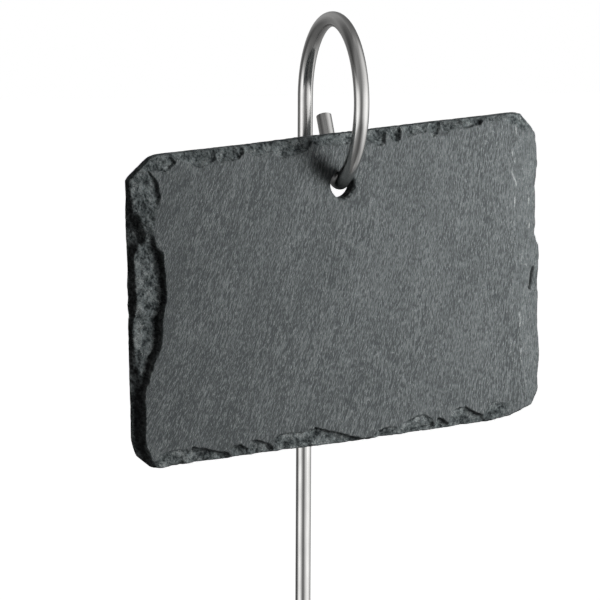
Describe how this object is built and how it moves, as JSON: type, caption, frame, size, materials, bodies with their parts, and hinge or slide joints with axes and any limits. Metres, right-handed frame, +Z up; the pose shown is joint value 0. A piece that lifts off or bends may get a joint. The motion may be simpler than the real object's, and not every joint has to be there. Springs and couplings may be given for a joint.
{
  "type": "plant label stake",
  "caption": "Plant label stake: a chipped-edge slate plaque with one drilled hole hangs from the hooked loop at the top of a pointed steel wire.",
  "frame": {"origin": "on the axis of the straight shank, where the stake leaves the soil", "axes": "+Z up along the stake, -Y the side that the loop and the front of the slate face, +X to the right as seen from the front"},
  "size_m": [0.1231, 0.046, 0.32],
  "materials": {
    "stainless_wire": "drawn stainless steel wire, satin",
    "slate": "riven grey slate, matt"
  },
  "bodies": {
    "stake": {"wire_stake": "stainless_wire"},
    "slate": {"slate_plaque": "slate"}
  },
  "joints": [
    {"name": "slate_swing", "type": "hinge", "parent": "stake", "child": "slate", "pos_m": [0, -0.02602, 0.17104], "axis": [1, 0, 0], "range_deg": [-38, 12]}
  ]
}
